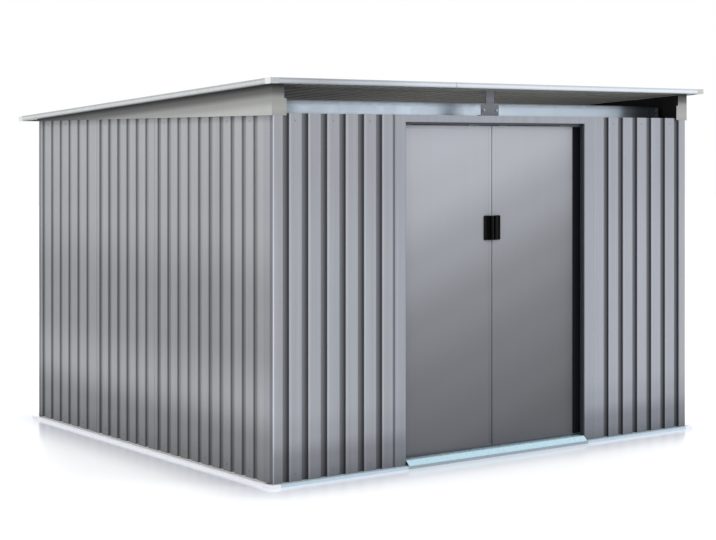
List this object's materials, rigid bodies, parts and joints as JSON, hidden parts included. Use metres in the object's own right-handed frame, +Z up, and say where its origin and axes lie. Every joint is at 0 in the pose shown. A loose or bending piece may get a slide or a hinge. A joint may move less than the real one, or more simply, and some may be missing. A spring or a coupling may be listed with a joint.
{
  "type": "metal tool shed",
  "caption": "Ribbed steel tool shed with a lean-to roof, an open air gap under its front eave and a pair of sliding doors between flat jambs.",
  "frame": {"origin": "on the ground, at the middle of the shed's overall box", "axes": "+Z up, the doors face -Y, +X to the right of someone who faces the doors"},
  "size_m": [2.708, 2.519, 1.7789],
  "materials": {
    "wall_paint": "satin light grey paint on ribbed sheet",
    "door_paint": "satin light grey paint on flat sheet",
    "frame_paint": "satin light grey paint on folded trim",
    "roof_paint": "satin off-white paint",
    "galvanised_steel": "bright galvanised",
    "sill_metal": "pale satin",
    "cap_plastic": "matte off-white",
    "handle_plastic": "fine textured black",
    "runner_nylon": "matte white"
  },
  "bodies": {
    "shed": {"base_rail_front": "galvanised_steel", "base_rail_rear": "galvanised_steel", "base_rail_left": "galvanised_steel", "base_rail_right": "galvanised_steel", "door_ramp": "sill_metal", "door_track_bottom": "galvanised_steel", "door_track_top": "galvanised_steel", "corner_post_front_left": "wall_paint", "corner_post_front_right": "wall_paint", "corner_post_rear_left": "wall_paint", "corner_post_rear_right": "wall_paint", "front_wall_left": "wall_paint", "front_wall_right": "wall_paint", "left_wall": "wall_paint", "right_wall": "wall_paint", "rear_wall": "wall_paint", "door_jamb_left": "frame_paint", "door_jamb_right": "frame_paint", "door_header": "frame_paint", "top_rail_front": "galvanised_steel", "top_rail_rear": "galvanised_steel", "top_rail_left": "galvanised_steel", "top_rail_right": "galvanised_steel", "wall_braces": "galvanised_steel", "left_gable": "frame_paint", "right_gable": "frame_paint", "front_beam": "galvanised_steel", "beam_brackets": "frame_paint", "roof_beams": "galvanised_steel", "roof_sheet_1": "roof_paint", "roof_sheet_2": "roof_paint", "roof_sheet_3": "roof_paint", "roof_sheet_4": "roof_paint", "roof_trim_front_left": "roof_paint", "roof_trim_front_right": "roof_paint", "roof_trim_rear": "roof_paint", "roof_trim_left": "roof_paint", "roof_trim_right": "roof_paint", "roof_corner_caps": "cap_plastic"},
    "left_door": {"left_door": "door_paint", "left_door_handle": "handle_plastic", "left_door_runners": "runner_nylon"},
    "right_door": {"right_door": "door_paint", "right_door_handle": "handle_plastic", "right_door_runners": "runner_nylon"}
  },
  "joints": [
    {"name": "left_door_slide", "type": "slide", "parent": "shed", "child": "left_door", "axis": [-1, 0, 0], "range_m": [0, 0.505]},
    {"name": "right_door_slide", "type": "slide", "parent": "shed", "child": "right_door", "axis": [1, 0, 0], "range_m": [0, 0.505]}
  ]
}
